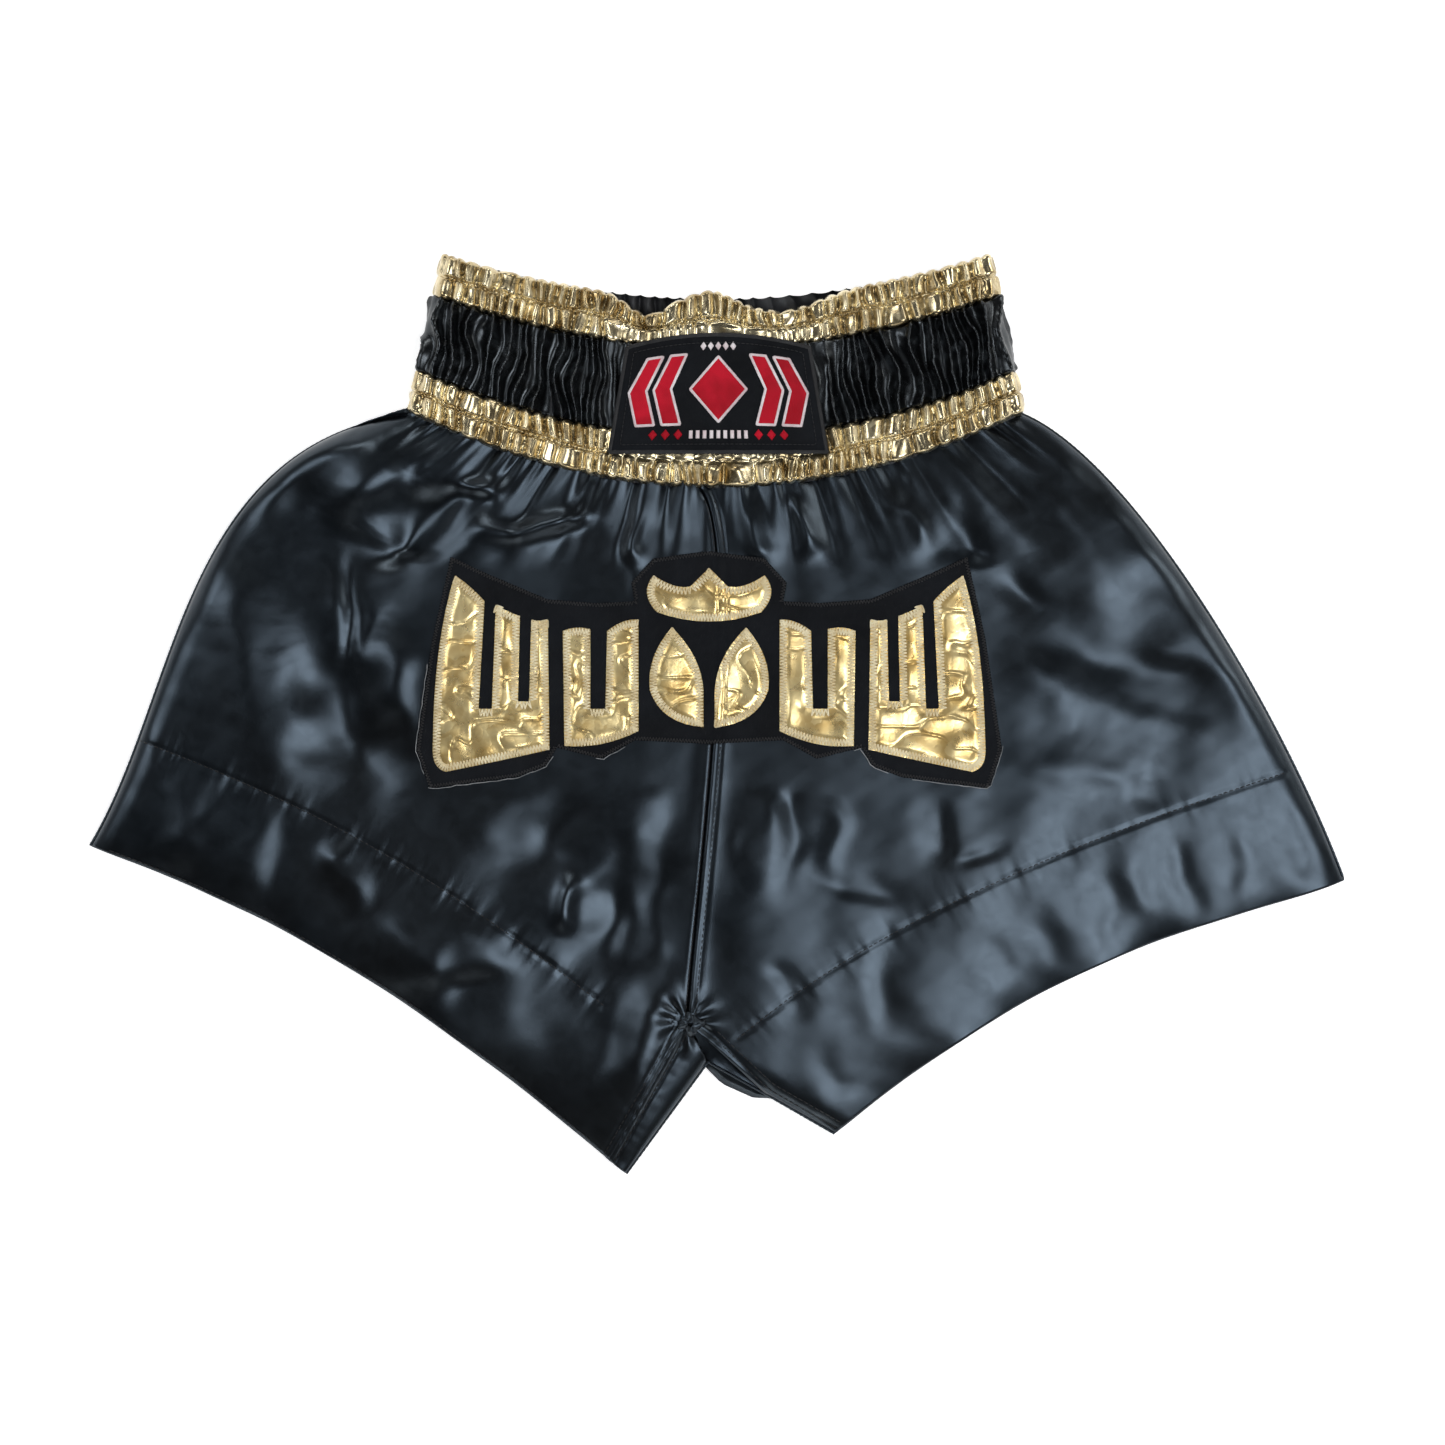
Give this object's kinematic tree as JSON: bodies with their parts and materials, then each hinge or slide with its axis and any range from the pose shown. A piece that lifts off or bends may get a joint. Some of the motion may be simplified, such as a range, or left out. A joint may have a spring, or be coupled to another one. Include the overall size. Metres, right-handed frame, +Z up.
{
  "type": "boxing shorts",
  "caption": "Wide-leg satin boxing shorts lying flat, with a ruched gold and black elastic waistband, a label patch and a gold winged applique.",
  "frame": {"origin": "on the floor under the middle of the shorts as they lie flat, front up", "axes": "+X across the waist towards the right as seen from above, +Y up the body towards the waistband, +Z up from the floor"},
  "size_m": [0.6786, 0.497, 0.02],
  "materials": {
    "satin": "glossy black satin weave",
    "gold_foil": "crinkled metallic gold foil cloth",
    "twill": "matte charcoal twill",
    "lining": "dull black lining satin",
    "elastic": "ribbed knitted elastic webbing",
    "thread": "twisted polyester sewing thread",
    "embroidery": "dense red satin-stitch embroidery"
  },
  "bodies": {
    "root": {"applique_backing": "twill", "applique_crest": "gold_foil", "applique_inner_wing_left": "gold_foil", "applique_inner_wing_right": "gold_foil", "applique_outer_wing_left": "gold_foil", "applique_outer_wing_right": "gold_foil", "applique_petal_left": "gold_foil", "applique_petal_right": "gold_foil", "back_centre_seam_allowance": "satin", "casing_black_middle": "satin", "casing_gold_lower": "gold_foil", "casing_gold_upper": "gold_foil", "crotch_seam_knot": "satin", "elastic_black_middle_1": "elastic", "elastic_black_middle_2": "elastic", "elastic_black_middle_3": "elastic", "elastic_black_middle_4": "elastic", "elastic_gold_lower_1": "elastic", "elastic_gold_lower_2": "elastic", "elastic_gold_upper_1": "elastic", "elastic_gold_upper_2": "elastic", "front_centre_seam_allowance": "satin", "label_border_stitch": "thread", "label_emblem_left": "embroidery", "label_emblem_middle": "embroidery", "label_emblem_right": "embroidery", "label_patch": "twill", "left_back_hem_turnup": "satin", "left_back_panel": "satin", "left_centre_seam_stitching": "thread", "left_front_hem_turnup": "satin", "left_front_panel": "satin", "left_hem_stitching": "thread", "left_inseam": "satin", "left_inseam_stitching": "thread", "left_side_seam": "satin", "right_back_hem_turnup": "satin", "right_back_panel": "satin", "right_centre_seam_stitching": "thread", "right_front_hem_turnup": "satin", "right_front_panel": "satin", "right_hem_stitching": "thread", "right_inseam": "satin", "right_inseam_stitching": "thread", "right_side_seam": "satin", "waist_lining": "lining"}
  },
  "joints": []
}
